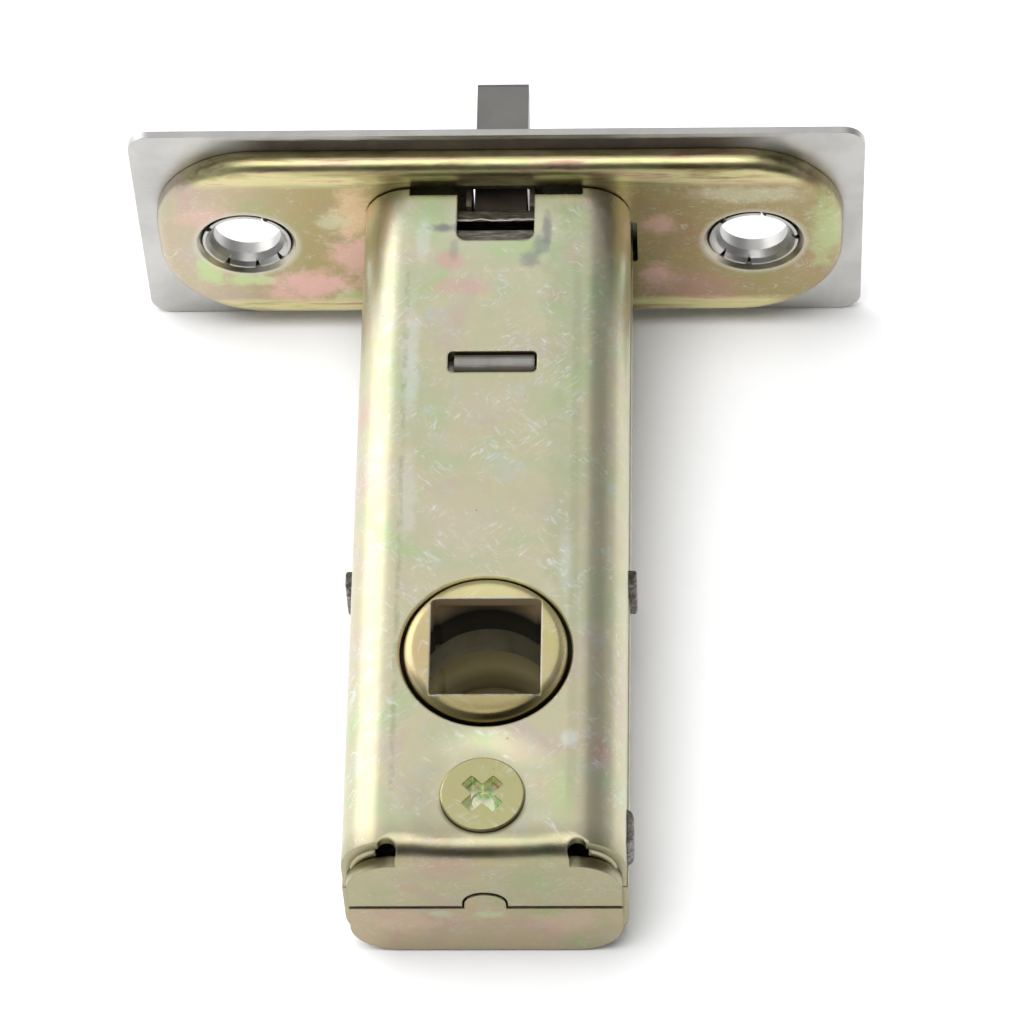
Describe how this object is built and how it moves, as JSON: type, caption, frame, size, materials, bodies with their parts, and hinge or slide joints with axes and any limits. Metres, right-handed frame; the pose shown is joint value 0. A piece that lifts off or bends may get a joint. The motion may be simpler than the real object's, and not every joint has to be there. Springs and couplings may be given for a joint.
{
  "type": "tubular door latch",
  "caption": "Tubular latch with a bevelled tongue, double forend plate, tube of two plated shells and a square hub that pulls the tongue in.",
  "frame": {"origin": "centre of the forend's outer face, halfway between its two screw holes", "axes": "+X along the forend, +Y the way the tongue comes out, +Z along the hub's axis toward the face with the screw"},
  "size_m": [0.058, 0.0718, 0.024],
  "materials": {
    "stainless": "satin",
    "yellow_zinc": "iridescent yellow zinc",
    "bare_steel": "dull",
    "dark_steel": "oiled black"
  },
  "bodies": {
    "case": {"outer_faceplate": "stainless", "inner_faceplate": "yellow_zinc", "front_case": "yellow_zinc", "rear_case": "yellow_zinc", "bolt_guide": "dark_steel", "guide_plate": "bare_steel", "stop_plate": "bare_steel", "case_screw": "yellow_zinc", "screw_pillar": "bare_steel", "bolt_spring": "dark_steel", "return_spring": "dark_steel"},
    "bolt": {"latch_tongue": "bare_steel", "bolt_carrier": "bare_steel", "carrier_pin": "bare_steel", "tail_rod": "bare_steel", "tail_head": "bare_steel", "yoke_frame": "bare_steel", "spring_washer": "bare_steel"},
    "hub": {"hub_upper_bush": "yellow_zinc", "hub_lower_bush": "yellow_zinc", "hub_cam": "bare_steel"}
  },
  "joints": [
    {"name": "hub_turn", "type": "hinge", "parent": "case", "child": "hub", "pos_m": [0, -0.045, 0], "axis": [0, 0, 1], "range_deg": [0, 70]},
    {"name": "bolt_slide", "type": "slide", "parent": "case", "child": "bolt", "axis": [0, -1, 0], "range_m": [0, 0.009], "stiffness_N_per_m": 500, "springref_m": -0.01, "deforming": ["bolt_spring", "return_spring"]}
  ],
  "couplings": [
    {"joint": "hub_turn", "follows": "bolt_slide", "rad_per_m": 135.74}
  ]
}
